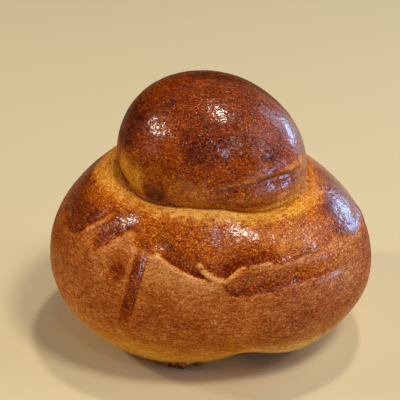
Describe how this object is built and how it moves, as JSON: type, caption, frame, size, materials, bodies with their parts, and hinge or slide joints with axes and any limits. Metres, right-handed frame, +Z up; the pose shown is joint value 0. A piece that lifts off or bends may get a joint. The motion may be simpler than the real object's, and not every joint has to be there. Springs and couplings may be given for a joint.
{
  "type": "brioche bun",
  "caption": "Round brioche bun with a smaller round topknot sunk into its top, brushed with egg wash and baked brown, resting on its flat foot",
  "frame": {"origin": "middle of the box round the bun, on the plane of its flat foot", "axes": "+Z up through the topknot, -Y towards the front that the picture shows, +X to the right of that view"},
  "size_m": [0.1031, 0.0955, 0.0863],
  "materials": {
    "crust": "baked crust, glossy where egg wash was brushed on and dull where the dough stretched"
  },
  "bodies": {
    "root": {"brioche_bun": "crust"}
  },
  "joints": []
}
